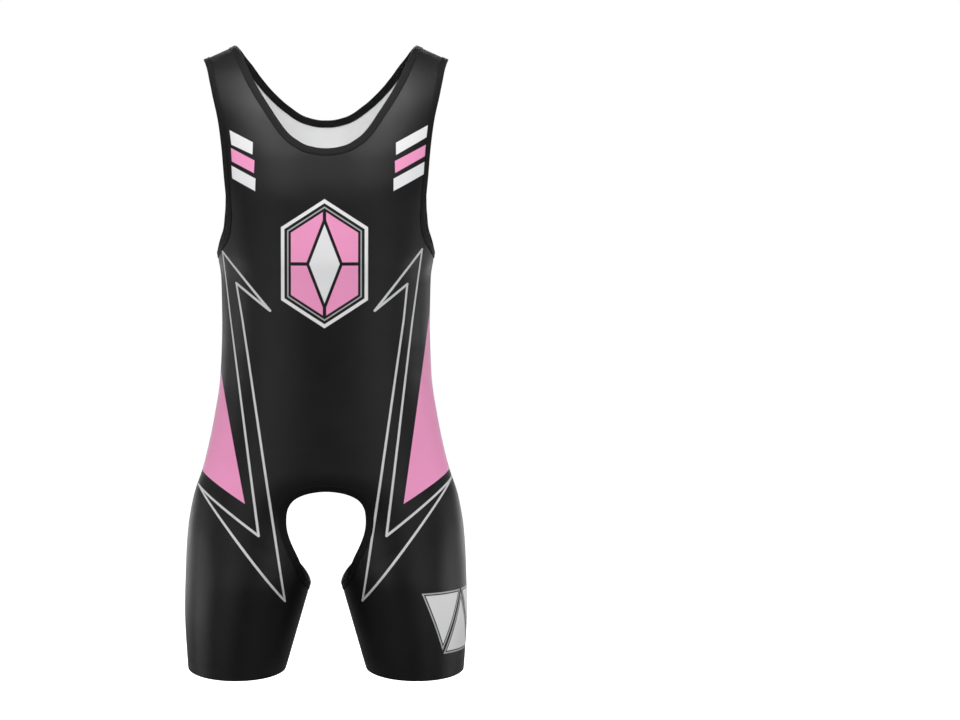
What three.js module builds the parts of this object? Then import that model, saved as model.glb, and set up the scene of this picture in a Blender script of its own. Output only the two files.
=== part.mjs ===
// Wrestling singlet in its worn shape, hollow, with nobody in it: a front and a back panel that
// meet at the shoulder, side and inner leg seams, with tape bound round the neck, both armholes
// and the cut-away between the legs. Millimetres, +Z up, the front faces -Y, and z is 0 at the
// neck ends of the shoulder seams.
import * as THREE from 'three';

// Cloth and sewing
const clothThickness = 1.6;
const seamGap = 0.3;
const tapeThickness = 0.8;
const neckTapeWidth = 9;
const armholeTapeWidth = 8;
const openingTapeWidth = 10;

// Shoulders
const neckPointX = 121;
const shoulderPointX = 162;
const shoulderSlope = 0.45;
const slopeFadesBy = 140;

// Body and legs. The body's sections square off a little, and turn into legs by the crotch.
const bodySquareness = 2.3;
const legsBegin = 560;
const crotchDown = 722;
const crotchHalfGap = 21;
const legSpread = 0.287;
const hemDown = 837;
const hemDip = 5;

// Cells of each half panel, down its height and across it. Those beside the armhole end on the
// neck, and then on the centre line down to the chest level.
const neckRows = 8;
const chestRows = 7;
const strapRows = neckRows + chestRows;
const chestDown = 300;
const bodyRows = 11;
const openingRows = 10;
const legRows = 5;
const columns = 8;

// Sections of a general figure, by their distance below the shoulder
const SECTIONS = [
  { down: 0, halfWidth: 178, front: 0, back: 0 },
  { down: 6, halfWidth: 178, front: 21, back: 22 },
  { down: 20, halfWidth: 178, front: 38, back: 40 },
  { down: 50, halfWidth: 176, front: 58, back: 62 },
  { down: 100, halfWidth: 167, front: 80, back: 84 },
  { down: 150, halfWidth: 158, front: 94, back: 96 },
  { down: 210, halfWidth: 150, front: 103, back: 99 },
  { down: 275, halfWidth: 145, front: 104, back: 93 },
  { down: 310, halfWidth: 140, front: 101, back: 87 },
  { down: 370, halfWidth: 139, front: 96, back: 80 },
  { down: 440, halfWidth: 141.5, front: 92, back: 78 },
  { down: 500, halfWidth: 150.5, front: 91, back: 86 },
  { down: 560, halfWidth: 164, front: 92, back: 97 },
  { down: 605, halfWidth: 178.5, front: 93, back: 103 },
  { down: 650, halfWidth: 186, front: 93, back: 104 },
  { down: 700, halfWidth: 189, front: 91, back: 99 },
  { down: 760, halfWidth: 190.5, front: 86, back: 91 },
  { down: 840, halfWidth: 186.5, front: 78, back: 80 },
];

// Cut edges as they look from straight in front or behind, from the shoulder down to the
// centre or the side, and from the centre down to the inner leg seam
const NECK = {
  front: [
    { x: 109.5, down: 17.5 },
    { x: 94, down: 49 },
    { x: 74, down: 81 },
    { x: 51, down: 113 },
    { x: 40, down: 122 },
    { x: 22, down: 131 },
    { x: 0, down: 134 },
  ],
  back: [
    { x: 111, down: 12 },
    { x: 99, down: 28 },
    { x: 87, down: 45 },
    { x: 71, down: 64 },
    { x: 50, down: 83 },
    { x: 25, down: 98 },
    { x: 0, down: 102 },
  ],
};
const ARMHOLE = {
  front: [
    { x: 155, down: 39 },
    { x: 148, down: 71 },
    { x: 141, down: 104 },
    { x: 137, down: 136 },
    { x: 134, down: 172 },
    { x: 131, down: 205 },
    { x: 130, down: 232 },
    { x: 135, down: 254 },
    { x: 145, down: 275 },
  ],
  back: [
    { x: 155, down: 39 },
    { x: 148, down: 71 },
    { x: 142, down: 104 },
    { x: 138.5, down: 136 },
    { x: 136, down: 172 },
    { x: 135, down: 205 },
    { x: 136, down: 228 },
    { x: 139.5, down: 252 },
    { x: 145, down: 275 },
  ],
};
const OPENING = {
  front: [
    { x: 0, down: 586 },
    { x: 20, down: 588 },
    { x: 39, down: 595 },
    { x: 50, down: 607 },
    { x: 53.5, down: 624 },
    { x: 52, down: 642 },
    { x: 46.5, down: 659 },
    { x: 39, down: 676 },
    { x: 31.5, down: 695 },
    { x: 25.5, down: 710 },
    { x: crotchHalfGap, down: crotchDown },
  ],
  back: [
    { x: 0, down: 555 },
    { x: 27, down: 559 },
    { x: 50, down: 568 },
    { x: 67, down: 585 },
    { x: 74, down: 610 },
    { x: 73, down: 640 },
    { x: 65, down: 668 },
    { x: 53, down: 688 },
    { x: 37, down: 705 },
    { x: crotchHalfGap, down: crotchDown },
  ],
};

const { clamp, lerp, smoothstep } = THREE.MathUtils;

// A curve through one column of a table that never overshoots its rows
function throughTable(rows, column) {
  const at = rows.map((row) => row.down);
  const value = rows.map(column);
  const rise = at.slice(1).map((a, i) => (value[i + 1] - value[i]) / (a - at[i]));
  const slope = at.map((_, i) => {
    const before = rise[Math.max(i - 1, 0)];
    const after = rise[Math.min(i, rise.length - 1)];
    return before * after > 0 ? (2 * before * after) / (before + after) : 0;
  });
  return (down) => {
    let i = 0;
    while (i < at.length - 2 && down > at[i + 1]) i++;
    const width = at[i + 1] - at[i];
    const t = clamp((down - at[i]) / width, 0, 1);
    const s = 1 - t;
    return (
      s * s * (1 + 2 * t) * value[i] +
      t * t * (1 + 2 * s) * value[i + 1] +
      t * s * s * width * slope[i] -
      t * t * s * width * slope[i + 1]
    );
  };
}

const halfWidthAt = throughTable(SECTIONS, (row) => row.halfWidth);
// The depths grow as a square root from the shoulder seam, which rounds the strap's top.
const depthSquared = {
  front: throughTable(SECTIONS, (row) => row.front ** 2),
  back: throughTable(SECTIONS, (row) => row.back ** 2),
};

const FACES = [
  { name: 'front', side: -1 },
  { name: 'back', side: 1 },
];

const slopeLeftAt = (down) => 1 - smoothstep(down, 0, slopeFadesBy);
const shoulderFall = (x) => shoulderSlope * (x - neckPointX);
const innerLegX = (down) => crotchHalfGap + legSpread * (down - crotchDown);

// Half the garment as a map. Girth runs from the centre line or inner leg seam, 0, to the side
// seam, 1. Fall is the square root of the distance below the shoulder.
function surfacePoint(face, girth, fall) {
  const down = fall * fall;
  const width = halfWidthAt(down);
  const depth = Math.sqrt(Math.max(depthSquared[face.name](down), 0));
  const turn = (girth * Math.PI) / 2;
  const body = {
    x: width * Math.sin(turn) ** (2 / bodySquareness),
    y: depth * Math.max(Math.cos(turn), 0) ** (2 / bodySquareness),
  };
  const inner = innerLegX(down);
  const leg = {
    x: inner + ((width - inner) * (1 - Math.cos(2 * turn))) / 2,
    y: depth * Math.sin(2 * turn),
  };
  const asLeg = smoothstep(down, legsBegin, crotchDown);
  const x = lerp(body.x, leg.x, asLeg);
  const y = face.side * (seamGap / 2 + Math.max(lerp(body.y, leg.y, asLeg), 0));
  const dip = hemDip * Math.sin(2 * turn) * smoothstep(down, crotchDown, hemDown);
  const z = -down - shoulderFall(x) * slopeLeftAt(down) - dip;
  return new THREE.Vector3(x, y, z);
}

const nudge = 1e-3;

function surfaceSlopes(face, girth, fall) {
  const g0 = clamp(girth - nudge, 0, 1);
  const g1 = clamp(girth + nudge, 0, 1);
  const f0 = Math.max(fall - nudge, 0);
  const f1 = fall + nudge;
  const across = surfacePoint(face, g1, fall).sub(surfacePoint(face, g0, fall));
  const downwards = surfacePoint(face, girth, f1).sub(surfacePoint(face, girth, f0));
  return { across: across.divideScalar(g1 - g0), downwards: downwards.divideScalar(f1 - f0) };
}

function surfaceNormal(face, girth, fall) {
  const { across, downwards } = surfaceSlopes(face, girth, fall);
  return across.cross(downwards).multiplyScalar(face.side).normalize();
}

// Where a point of a cut edge lies on the map, from its place in the front or back view
function mapPlace(face, { x, down }) {
  let level = down;
  for (let i = 0; i < 30; i++) level = down - shoulderFall(x) * slopeLeftAt(level);
  const fall = Math.sqrt(Math.max(level, 0));
  let low = 0;
  let high = 1;
  for (let i = 0; i < 40; i++) {
    const middle = (low + high) / 2;
    if (surfacePoint(face, middle, fall).x < x) low = middle;
    else high = middle;
  }
  return new THREE.Vector3((low + high) / 2, fall, 0);
}

// Even stations along a curve on the map. Where it crosses a seam or the centre line, a copy
// of its next point behind that line keeps the crossing square.
function stations(face, places, count, { startMirror, endMirror }) {
  const before = startMirror(places[1].clone());
  const after = endMirror(places.at(-2).clone());
  const curve = new THREE.CatmullRomCurve3([before, ...places, after], false, 'centripetal');
  const steps = 40;
  const spans = places.length + 1;
  const fine = [];
  for (let i = steps; i <= steps * (spans - 1); i++) fine.push(curve.getPoint(i / (steps * spans)));
  return evenly(face, fine, count);
}

// Places the same length apart along a fine run of them
function evenly(face, fine, count) {
  const solid = fine.map((p) => surfacePoint(face, clamp(p.x, 0, 1), Math.max(p.y, 0)));
  const along = [0];
  for (let i = 1; i < fine.length; i++) along.push(along[i - 1] + solid[i].distanceTo(solid[i - 1]));
  const out = [];
  for (let k = 0, i = 1; k <= count; k++) {
    const wanted = (along.at(-1) * k) / count;
    while (i < fine.length - 1 && along[i] < wanted) i++;
    const share = clamp((wanted - along[i - 1]) / (along[i] - along[i - 1]), 0, 1);
    out.push(fine[i - 1].clone().lerp(fine[i], share));
  }
  return out;
}

const overCentre = (p) => p.setX(-p.x);
const overSide = (p) => p.setX(2 - p.x);
const overShoulder = (p) => p.setY(-p.y);

function straight(face, from, to, count) {
  const fine = Array.from({ length: 81 }, (_, i) => from.clone().lerp(to, i / 80));
  return evenly(face, fine, count);
}

// The line that runs a tape's width inside a cut edge, on the hand of it where the cloth is.
// Each end of the edge crosses a seam or the centre line squarely, and the line stays on it.
function inset(face, edge, width, hand, startLine, endLine) {
  const solid = edge.map((p) => surfacePoint(face, p.x, p.y));
  return edge.map((place, i) => {
    const line = i === 0 ? startLine : i === edge.length - 1 ? endLine : 'none';
    const run = solid[Math.min(i + 1, edge.length - 1)].clone().sub(solid[Math.max(i - 1, 0)]);
    if (line === 'centre') run.set(run.x, 0, 0);
    else if (line !== 'none') run.set(0, run.y, 0);
    const inward = surfaceNormal(face, place.x, place.y).cross(run);
    inward.multiplyScalar(-hand * face.side).normalize();
    const moved = place.clone();
    const parts = 4;
    for (let k = 0; k < parts; k++) {
      const { across, downwards } = surfaceSlopes(face, moved.x, moved.y);
      const aa = across.dot(across);
      const ad = across.dot(downwards);
      const dd = downwards.dot(downwards);
      const wa = (across.dot(inward) * width) / parts;
      const wd = (downwards.dot(inward) * width) / parts;
      const det = aa * dd - ad * ad;
      moved.x = clamp(moved.x + (wa * dd - wd * ad) / det, 0, 1);
      moved.y = Math.max(moved.y + (wd * aa - wa * ad) / det, 0);
    }
    if (line === 'shoulder') moved.y = 0;
    else if (line !== 'none') moved.x = place.x;
    return moved;
  });
}

// The edges and the grid of one half panel, all as places on the map
function layOut(face) {
  const places = (rows) => rows.map((row) => mapPlace(face, row));
  const onShoulder = (x) => {
    const at = mapPlace(face, { x, down: shoulderFall(x) });
    return at.setY(0);
  };
  const neck = stations(face, [onShoulder(neckPointX), ...places(NECK[face.name])], neckRows, {
    startMirror: overShoulder,
    endMirror: overCentre,
  });
  const armholePlaces = [onShoulder(shoulderPointX), ...places(ARMHOLE[face.name])];
  armholePlaces.at(-1).setX(1);
  const armhole = stations(face, armholePlaces, strapRows, {
    startMirror: overShoulder,
    endMirror: overSide,
  });
  const openingPlaces = places(OPENING[face.name]);
  openingPlaces.at(-1).setX(0);
  const opening = stations(face, openingPlaces, openingRows, {
    startMirror: overCentre,
    endMirror: overCentre,
  });
  const neckInset = inset(face, neck, neckTapeWidth, 1, 'shoulder', 'centre');
  const armholeInset = inset(face, armhole, armholeTapeWidth, -1, 'shoulder', 'side');
  const openingInset = inset(face, opening, openingTapeWidth, 1, 'centre', 'side');
  const chest = new THREE.Vector3(0, Math.sqrt(chestDown), 0);
  const hemFall = Math.sqrt(hemDown);
  const inner = [
    ...neckInset,
    ...straight(face, neckInset.at(-1), chest, chestRows).slice(1),
    ...straight(face, chest, openingInset[0], bodyRows).slice(1),
    ...openingInset.slice(1),
    ...straight(face, openingInset.at(-1), new THREE.Vector3(0, hemFall, 0), legRows).slice(1),
  ];
  const belowArm = bodyRows + openingRows + legRows;
  const outer = [
    ...armholeInset,
    ...straight(face, armholeInset.at(-1), new THREE.Vector3(1, hemFall, 0), belowArm).slice(1),
  ];
  const grid = inner.map((place, i) => straight(face, place, outer[i], columns));
  return { face, neck, armhole, opening, grid };
}

// Half a panel's cells, numbered once for each half. Both halves share the centre line.
class Sheet {
  constructor() {
    this.outside = [];
    this.inside = [];
    this.triangles = [];
  }

  addPoint(face, place, mirror) {
    const point = surfacePoint(face, place.x, place.y);
    const normal = surfaceNormal(face, place.x, place.y);
    point.x *= mirror;
    normal.x *= mirror;
    this.outside.push(point);
    this.inside.push(point.clone().addScaledVector(normal, -clothThickness));
    return this.outside.length - 1;
  }

  addCell(a, b, c, d, flip) {
    if (flip) this.triangles.push([a, c, b], [a, d, c]);
    else this.triangles.push([a, b, c], [a, c, d]);
  }

  solid() {
    const n = this.outside.length;
    const faces = [];
    const open = new Map();
    for (const [a, b, c] of this.triangles) {
      faces.push([a, b, c], [c + n, b + n, a + n]);
      for (const [p, q] of [[a, b], [b, c], [c, a]]) {
        if (!open.delete(`${q}/${p}`)) open.set(`${p}/${q}`, [p, q]);
      }
    }
    for (const [p, q] of open.values()) faces.push([q, p, p + n], [q, p + n, q + n]);
    return geometryOf([...this.outside, ...this.inside], faces);
  }
}

function geometryOf(points, faces) {
  const geometry = new THREE.BufferGeometry();
  geometry.setAttribute('position', new THREE.Float32BufferAttribute(points.flatMap((p) => p.toArray()), 3));
  geometry.setIndex(faces.flat());
  geometry.computeVertexNormals();
  return geometry;
}

function panelGeometry({ face, neck, armhole, opening, grid }) {
  const sheet = new Sheet();
  const centreFrom = neckRows;
  const centreTo = strapRows + bodyRows;
  const shared = { grid: {}, neck: null, opening: null };
  for (const mirror of [1, -1]) {
    const flip = mirror * face.side > 0;
    const add = (place) => sheet.addPoint(face, place, mirror);
    const once = (known, keep, place) => {
      if (known !== null && known !== undefined) return known;
      const made = add(place);
      keep(made);
      return made;
    };
    const cells = grid.map((row, i) =>
      row.map((place, j) => {
        const onCentre = j === 0 && i >= centreFrom && i <= centreTo;
        return onCentre ? once(shared.grid[i], (v) => (shared.grid[i] = v), place) : add(place);
      }),
    );
    const neckEdge = neck.map((place, i) =>
      i === neckRows ? once(shared.neck, (v) => (shared.neck = v), place) : add(place),
    );
    const openingEdge = opening.map((place, i) =>
      i === 0 ? once(shared.opening, (v) => (shared.opening = v), place) : add(place),
    );
    const armholeEdge = armhole.map(add);
    for (let i = 0; i < cells.length - 1; i++) {
      for (let j = 0; j < columns; j++) {
        sheet.addCell(cells[i][j], cells[i + 1][j], cells[i + 1][j + 1], cells[i][j + 1], flip);
      }
    }
    for (let i = 0; i < neckRows; i++) {
      sheet.addCell(neckEdge[i], neckEdge[i + 1], cells[i + 1][0], cells[i][0], flip);
    }
    for (let i = 0; i < strapRows; i++) {
      sheet.addCell(armholeEdge[i], cells[i][columns], cells[i + 1][columns], armholeEdge[i + 1], flip);
    }
    for (let k = 0; k < openingRows; k++) {
      const i = centreTo + k;
      sheet.addCell(openingEdge[k], openingEdge[k + 1], cells[i + 1][0], cells[i][0], flip);
    }
  }
  return sheet.solid();
}

// One station of a tape folded over a cut edge, as the eight corners of its channel
function tapeCorners(face, edge, line, mirror) {
  const at = (place) => {
    const point = surfacePoint(face, place.x, place.y);
    const normal = surfaceNormal(face, place.x, place.y);
    point.x *= mirror;
    normal.x *= mirror;
    return { point, normal };
  };
  const lip = at(edge);
  const heel = at(line);
  const away = lip.point.clone().sub(heel.point).normalize();
  const near = seamGap;
  const far = seamGap + tapeThickness;
  const corner = ({ point, normal }, lift, reach) =>
    point.clone().addScaledVector(normal, lift).addScaledVector(away, reach);
  return [
    corner(heel, far, 0),
    corner(lip, far, far),
    corner(lip, -clothThickness - far, far),
    corner(heel, -clothThickness - far, 0),
    corner(heel, -clothThickness - near, 0),
    corner(lip, -clothThickness - near, near),
    corner(lip, near, near),
    corner(heel, near, 0),
  ];
}

const midway = (a, b) => a.map((p, i) => p.clone().lerp(b[i], 0.5));
const onLip = [false, true, true, false, false, true, true, false];

// A tape that runs round a loop of half edges. Where two meet on a seam or on the centre line,
// they share one station. Its cells are cut the same way as the panel's under them.
function tapeGeometry(runs) {
  const loop = [];
  const reversed = [];
  runs.forEach((run, r) => {
    const next = runs[(r + 1) % runs.length];
    loop.push(...run.stations.slice(1, -1), midway(run.stations.at(-1), next.stations[0]));
    reversed.push(...run.stations.slice(2).map(() => run.backwards), next.backwards);
  });
  const corners = onLip.length;
  const faces = [];
  loop.forEach((_, s) => {
    const t = (s + 1) % loop.length;
    for (let k = 0; k < corners; k++) {
      const m = (k + 1) % corners;
      const [a, b, c, d] = [s * corners + k, s * corners + m, t * corners + m, t * corners + k];
      if (onLip[k] !== reversed[s]) faces.push([a, b, c], [a, c, d]);
      else faces.push([a, b, d], [b, c, d]);
    }
  });
  const geometry = geometryOf(loop.flat(), faces);
  if (signedVolume(geometry) < 0) {
    geometry.setIndex(faces.flatMap(([a, b, c]) => [a, c, b]));
    geometry.computeVertexNormals();
  }
  return geometry;
}

function signedVolume(geometry) {
  const position = geometry.getAttribute('position');
  const index = geometry.getIndex();
  const p = [0, 1, 2].map(() => new THREE.Vector3());
  let sum = 0;
  for (let i = 0; i < index.count; i += 3) {
    p.forEach((v, k) => v.fromBufferAttribute(position, index.getX(i + k)));
    sum += p[0].dot(p[1].clone().cross(p[2])) / 6;
  }
  return sum;
}

const layouts = FACES.map(layOut);
const [front, back] = layouts;
const lineOf = {
  neck: (layout, i) => layout.grid[i][0],
  armhole: (layout, i) => layout.grid[i][columns],
  opening: (layout, i) => layout.grid[strapRows + bodyRows + i][0],
};

function tapeRun(layout, edgeName, mirror, backwards) {
  const stations = layout[edgeName].map((edge, i) =>
    tapeCorners(layout.face, edge, lineOf[edgeName](layout, i), mirror),
  );
  return { stations: backwards ? stations.reverse() : stations, backwards };
}

const cloth = { color: 0x1c1b1d, roughness: 0.55, metalness: 0 };
const tape = { color: 0x0c0c0d, roughness: 0.6, metalness: 0 };

function addPiece(group, name, geometry, look) {
  const mesh = new THREE.Mesh(geometry, new THREE.MeshStandardMaterial(look));
  mesh.name = name;
  group.add(mesh);
}

const singlet = new THREE.Group();
for (const layout of layouts) {
  addPiece(singlet, `${layout.face.name}_panel`, panelGeometry(layout), cloth);
}
addPiece(
  singlet,
  'neck_binding',
  tapeGeometry([
    tapeRun(front, 'neck', 1, false),
    tapeRun(front, 'neck', -1, true),
    tapeRun(back, 'neck', -1, false),
    tapeRun(back, 'neck', 1, true),
  ]),
  tape,
);
for (const [name, mirror] of [['left', 1], ['right', -1]]) {
  addPiece(
    singlet,
    `armhole_binding_${name}`,
    tapeGeometry([tapeRun(front, 'armhole', mirror, false), tapeRun(back, 'armhole', mirror, true)]),
    tape,
  );
}
addPiece(
  singlet,
  'opening_binding',
  tapeGeometry([
    tapeRun(front, 'opening', 1, false),
    tapeRun(back, 'opening', 1, true),
    tapeRun(back, 'opening', -1, false),
    tapeRun(front, 'opening', -1, true),
  ]),
  tape,
);

export default singlet;
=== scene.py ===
# Wrestling singlet in satin stretch knit, as worn, with nobody in it. The two panels and their
# tapes are thin cloth on the form of the solids, with the sewing on top. Lengths are in
# millimetres, and places of lights and camera in metres.
import math

import bpy
import numpy as np
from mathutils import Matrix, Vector


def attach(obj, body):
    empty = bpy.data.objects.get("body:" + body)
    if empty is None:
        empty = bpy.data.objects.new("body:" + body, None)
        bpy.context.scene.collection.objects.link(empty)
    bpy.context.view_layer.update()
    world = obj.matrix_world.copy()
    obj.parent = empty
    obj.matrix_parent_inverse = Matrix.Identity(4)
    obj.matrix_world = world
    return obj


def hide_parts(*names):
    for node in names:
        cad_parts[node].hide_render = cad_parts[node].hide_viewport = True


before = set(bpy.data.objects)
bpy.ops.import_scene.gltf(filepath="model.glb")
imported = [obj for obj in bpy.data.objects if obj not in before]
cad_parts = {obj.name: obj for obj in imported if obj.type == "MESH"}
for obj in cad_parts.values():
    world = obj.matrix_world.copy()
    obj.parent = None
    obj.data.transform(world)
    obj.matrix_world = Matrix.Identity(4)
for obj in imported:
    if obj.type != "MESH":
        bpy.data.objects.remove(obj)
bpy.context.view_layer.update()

MM = 0.001

# Cloth, tapes and hems
CLOTH_THICKNESS = 0.8
TAPE_THICKNESS = 0.55
TAPE_LIFT = 0.8
TAPE_HEEL_DROP = 0.2
TAPE_FOLD_BULGE = 1.1
NECK_TAPE_WIDTH = 9
ARMHOLE_TAPE_WIDTH = 8
OPENING_TAPE_WIDTH = 9.5
HEM_TURN = 22
HEM_FOLD_GAP = 0.15
HEM_FOLD_DROP = 0.7

# Seams and stitches
SEAM_HALF_GAP = 0.05
SEAM_GROOVE_DEPTH = 0.55
SEAM_GROOVE_WIDTH = 1.3
SIDE_SEAM_STITCHED = (286, 835)
LEG_SEAM_STITCHED = (734, 835)
STITCH_FROM_SEAM = 2.6
HEM_STITCH_ROWS = (3.5, 6.5)
TAPE_STITCH_ROWS = (0.22, 0.8)
STITCH_PITCH = 3.3
STITCH_LENGTH = 2.7
STITCH_WIDTH = 0.5
STITCH_HEIGHT = 0.28
STITCH_SINK = 0.3
STITCH_END_SINK = 0.15
STITCH_LIFT = 0.05

# Form: shoulders, then body and legs
NECK_POINT_X = 121
SHOULDER_POINT_X = 162
SHOULDER_SLOPE = 0.45
SLOPE_FADES_BY = 140
BODY_SQUARENESS = 2.3
LEGS_BEGIN = 560
CROTCH_DOWN = 722
CROTCH_HALF_GAP = 21
LEG_SPREAD = 0.287
HEM_DOWN = 837
HEM_DIP = 5

# Cells of each half panel, down its height and across it
NECK_ROWS = 36
CHEST_ROWS = 30
STRAP_ROWS = NECK_ROWS + CHEST_ROWS
CHEST_DOWN = 300
BODY_ROWS = 52
OPENING_ROWS = 56
LEG_ROWS = 24
HEM_TURN_ROWS = 6
COLUMNS = 38
STATIONS_BY_SEAM = (0, 1.2, 3.2)
TAPE_STATION = 4.0
CURVE_STEPS = 40
LINE_STEPS = 160
INSET_STEPS = 4

# Sections of a general figure: distance below the shoulder, half width, front and back depth
SECTIONS = [
    {"down": 0, "half_width": 178, "front": 0, "back": 0},
    {"down": 6, "half_width": 178, "front": 21, "back": 22},
    {"down": 20, "half_width": 178, "front": 38, "back": 40},
    {"down": 50, "half_width": 176, "front": 58, "back": 62},
    {"down": 100, "half_width": 167, "front": 80, "back": 84},
    {"down": 150, "half_width": 158, "front": 94, "back": 96},
    {"down": 210, "half_width": 150, "front": 103, "back": 99},
    {"down": 275, "half_width": 145, "front": 104, "back": 93},
    {"down": 310, "half_width": 140, "front": 101, "back": 87},
    {"down": 370, "half_width": 139, "front": 96, "back": 80},
    {"down": 440, "half_width": 141.5, "front": 92, "back": 78},
    {"down": 500, "half_width": 150.5, "front": 91, "back": 86},
    {"down": 560, "half_width": 164, "front": 92, "back": 97},
    {"down": 605, "half_width": 178.5, "front": 93, "back": 103},
    {"down": 650, "half_width": 186, "front": 93, "back": 104},
    {"down": 700, "half_width": 189, "front": 91, "back": 99},
    {"down": 760, "half_width": 190.5, "front": 86, "back": 91},
    {"down": 840, "half_width": 186.5, "front": 78, "back": 80},
]

# Cut edges, as (x, distance below the shoulder)
NECK = {
    "front": [(109.5, 17.5), (94, 49), (74, 81), (51, 113), (40, 122), (22, 131), (0, 134)],
    "back": [(111, 12), (99, 28), (87, 45), (71, 64), (50, 83), (25, 98), (0, 102)],
}
ARMHOLE = {
    "front": [(155, 39), (148, 71), (141, 104), (137, 136), (134, 172), (131, 205), (130, 232),
              (135, 254), (145, 275)],
    "back": [(155, 39), (148, 71), (142, 104), (138.5, 136), (136, 172), (135, 205), (136, 228),
             (139.5, 252), (145, 275)],
}
OPENING = {
    "front": [(0, 586), (20, 588), (39, 595), (50, 607), (53.5, 624), (52, 642), (46.5, 659),
              (39, 676), (31.5, 695), (25.5, 710), (CROTCH_HALF_GAP, CROTCH_DOWN)],
    "back": [(0, 555), (27, 559), (50, 568), (67, 585), (74, 610), (73, 640), (65, 668),
             (53, 688), (37, 705), (CROTCH_HALF_GAP, CROTCH_DOWN)],
}

# Soft creases: the strain at the waist, under the arms and beside the cut-away
CREASES = [
    {"face": "front", "x": 96, "down": 388, "turn": 12, "length": 74, "width": 10, "depth": 0.7},
    {"face": "front", "x": -92, "down": 402, "turn": -9, "length": 88, "width": 12, "depth": 0.6},
    {"face": "front", "x": 104, "down": 424, "turn": 18, "length": 52, "width": 8, "depth": -0.5},
    {"face": "front", "x": -112, "down": 292, "turn": 38, "length": 46, "width": 7, "depth": 0.6},
    {"face": "front", "x": 116, "down": 288, "turn": -34, "length": 52, "width": 8, "depth": 0.7},
    {"face": "front", "x": -78, "down": 668, "turn": 24, "length": 62, "width": 9, "depth": 0.7},
    {"face": "front", "x": 82, "down": 676, "turn": -28, "length": 54, "width": 8, "depth": 0.8},
    {"face": "front", "x": -118, "down": 560, "turn": 32, "length": 70, "width": 12, "depth": 0.6},
    {"face": "front", "x": 122, "down": 548, "turn": -36, "length": 64, "width": 11, "depth": 0.5},
    {"face": "back", "x": 90, "down": 396, "turn": -14, "length": 80, "width": 11, "depth": 0.8},
    {"face": "back", "x": -84, "down": 412, "turn": 10, "length": 92, "width": 12, "depth": 0.7},
    {"face": "back", "x": 60, "down": 440, "turn": -7, "length": 66, "width": 10, "depth": 0.6},
    {"face": "back", "x": -46, "down": 368, "turn": 6, "length": 84, "width": 13, "depth": 0.7},
    {"face": "back", "x": 104, "down": 690, "turn": 26, "length": 58, "width": 9, "depth": 0.8},
    {"face": "back", "x": -98, "down": 698, "turn": -22, "length": 66, "width": 10, "depth": 0.7},
    {"face": "back", "x": 112, "down": 300, "turn": -36, "length": 44, "width": 8, "depth": 0.6},
    {"face": "back", "x": -110, "down": 296, "turn": 33, "length": 50, "width": 8, "depth": 0.6},
]

# Print, as (x, distance below the shoulder)
PRINT_LINE_WIDTH = 3.3
PRINT_LINE_STRENGTH = 0.8
PRINT_SOFT_EDGE = 0.3
FRONT_WHITE_BARS = [
    [(-127, 110.4), (-96, 125.8), (-96.5, 141.8), (-124.5, 129.3)],
    [(-124.5, 156.7), (-92.4, 173.2), (-93, 189.4), (-123.4, 173.4)],
    [(136.4, 102.8), (134.8, 118.4), (91.9, 142.3), (91.7, 126.3)],
    [(135.1, 149), (134.9, 165), (88.5, 189.3), (88.5, 173.1)],
]
FRONT_PINK_BARS = [
    [(-125, 133.7), (-93.8, 149.5), (-94.5, 166), (-124, 151.3)],
    [(135.4, 127.5), (134.9, 142), (90.6, 165.8), (90.3, 150.2)],
]
FRONT_PINK_WEDGES = [
    [(-146, 406), (-107.5, 604), (-205, 543)],
    [(146, 301), (102.7, 604), (205, 541.5)],
]
FRONT_LINES = [
    [(-137.3, 271.4), (-73.6, 346.5), (-118.6, 312), (-110.4, 360.6), (-54.6, 736),
     (-170.7, 586), (-89.3, 646), (-126.5, 362), (-137.3, 271.4)],
    [(127.1, 267.3), (64, 346.2), (107.3, 312.4), (102.5, 360), (48.5, 736.3),
     (168.8, 576.2), (80.1, 646.1), (114.3, 360.9), (127.1, 267.3)],
]
BACK_WHITE_BARS = [
    [(136.5, 79.5), (86.8, 51.4), (80.3, 62.6), (134, 93.8)],
    [(130.5, 121.5), (66, 85.4), (57.9, 94.6), (129.1, 137.6)],
]
BACK_PINK_BARS = [
    [(132.5, 100.2), (76.1, 69.4), (70, 79.7), (130.8, 114.8)],
]
BACK_LINES = [
    [(143, 389.3), (89.7, 265), (37.4, 489), (-4, 533)],
    [(145, 441.4), (93.6, 314), (51.7, 496.7), (5.5, 546)],
    [(40.7, 550), (110.8, 486.6), (171.5, 823)],
    [(55.5, 557.5), (101, 515.3), (155.5, 825)],
]
MEDALLION_CENTRE = (-2, 284)
MEDALLION_HALF_WIDTH = 57
MEDALLION_HALF_HEIGHT = 85
MEDALLION_SHOULDER = 48
MEDALLION_RIM = 4.5
MEDALLION_RING_AT = 9.0
MEDALLION_RING = 1.6
MEDALLION_RING_STRENGTH = 0.55
MEDALLION_STONES_AT = 13.0
MEDALLION_LOZENGE = (20, 52)
MEDALLION_LOZENGE_GAP = 4.0
MEDALLION_CROSS_HALF_GAP = 2.2
LEG_ROW_FRONT = 117
LEG_ROW_MIDDLE = 765
LEG_ROW_HEIGHT = 84
LEG_ROW_PITCH = 37
LEG_ROW_GAP = 4
LEG_ROW_TRIANGLES = 5
LEG_ROW_OUTLINE = 1.8
LEG_ROW_OUTLINE_STRENGTH = 0.6
LEG_ROW_FILL_AT = 3.4

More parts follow.
